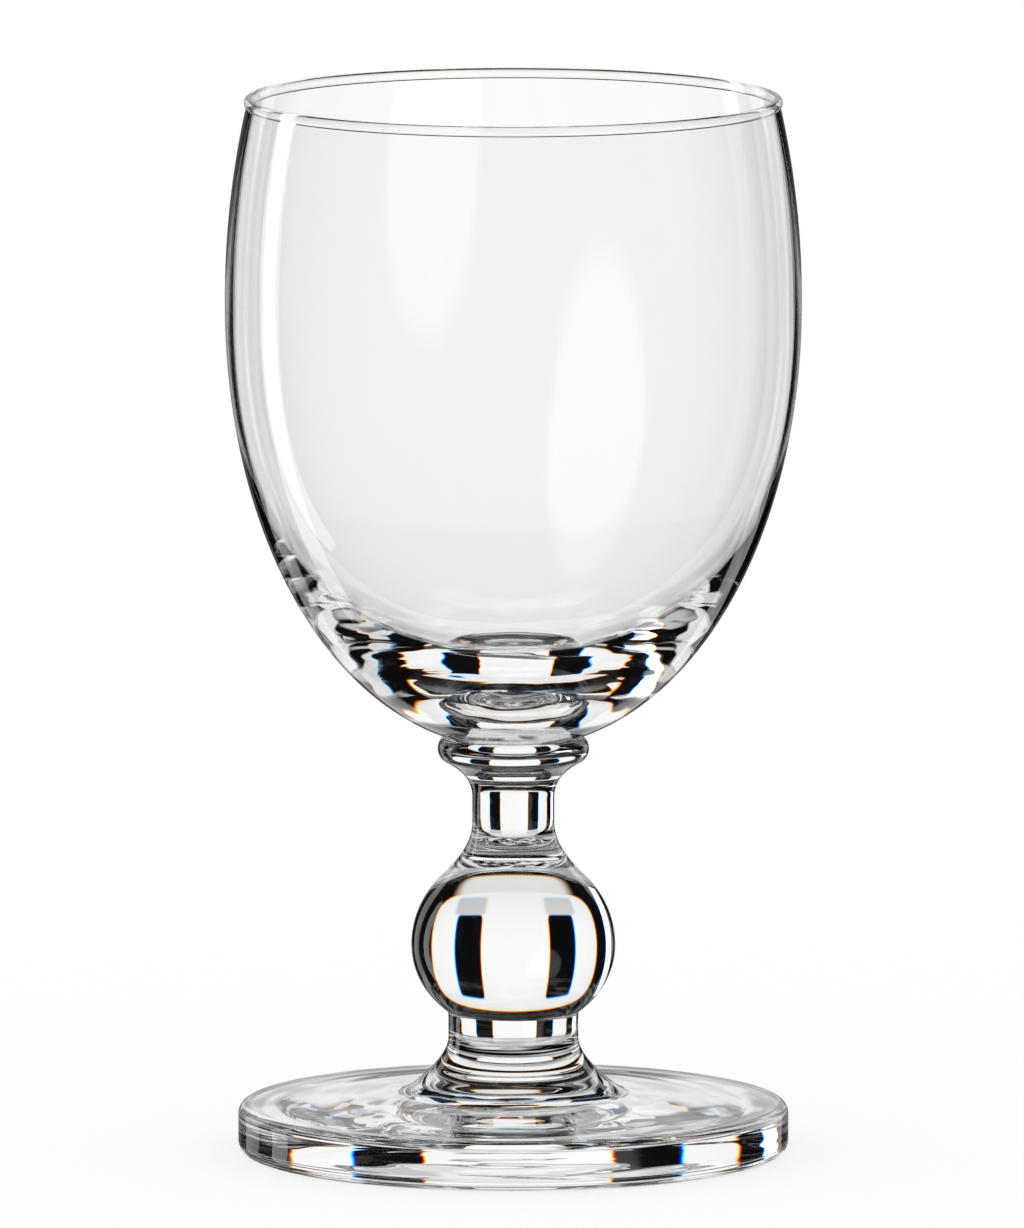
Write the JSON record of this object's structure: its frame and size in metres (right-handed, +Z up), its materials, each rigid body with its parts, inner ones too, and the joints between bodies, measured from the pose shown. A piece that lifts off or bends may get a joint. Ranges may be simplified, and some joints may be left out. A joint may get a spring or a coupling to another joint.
{
  "type": "red wine glass",
  "caption": "Clear stemmed wine glass: an egg-shaped bowl with a thick base, a bead collar, a short drawn stem swelling into a ball knop, and a thick round foot that it stands on.",
  "frame": {"origin": "centre of the ring on the underside of the foot, in the plane that the glass stands on", "axes": "+Z up the stem, from the foot to the rim of the bowl; +X and +Y are free, because every piece is turned about Z"},
  "size_m": [0.0848, 0.0848, 0.1566],
  "materials": {
    "bowl_glass": "clear, colourless, fire-polished glass with a faint waviness, thin at the wall and thick at the base",
    "stem_glass": "clear, colourless, solid glass, fire-polished all over",
    "foot_glass": "clear, colourless, pressed glass disc with a fire-polished edge and a faint grey-green depth at the rim"
  },
  "bodies": {
    "root": {"foot": "foot_glass", "stem_base": "stem_glass", "ball_knop": "stem_glass", "neck": "stem_glass", "collar": "stem_glass", "bowl": "bowl_glass"}
  },
  "joints": []
}
